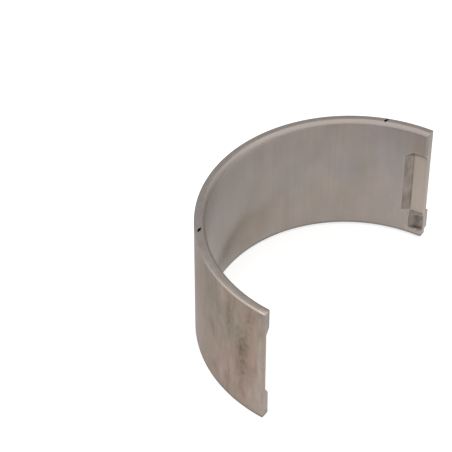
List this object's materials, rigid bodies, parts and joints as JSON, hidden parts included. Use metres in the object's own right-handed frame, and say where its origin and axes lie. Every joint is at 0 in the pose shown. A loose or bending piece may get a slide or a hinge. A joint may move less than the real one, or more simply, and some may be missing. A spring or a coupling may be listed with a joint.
{
  "type": "engine bearing shell",
  "caption": "Half shell of a plain engine bearing: bent bimetal wall with chamfered edges, oil pockets at the joints and a punched locating lug.",
  "frame": {"origin": "on the bearing axis at mid width", "axes": "+Z along the bearing axis, +Y toward the crown of the half shell, joint faces toward -Y, locating lug on the +X joint near the lower edge"},
  "size_m": [0.0706, 0.0339, 0.0312],
  "materials": {
    "bearing_shell": "satin"
  },
  "bodies": {
    "root": {"bearing_shell": "bearing_shell"}
  },
  "joints": []
}
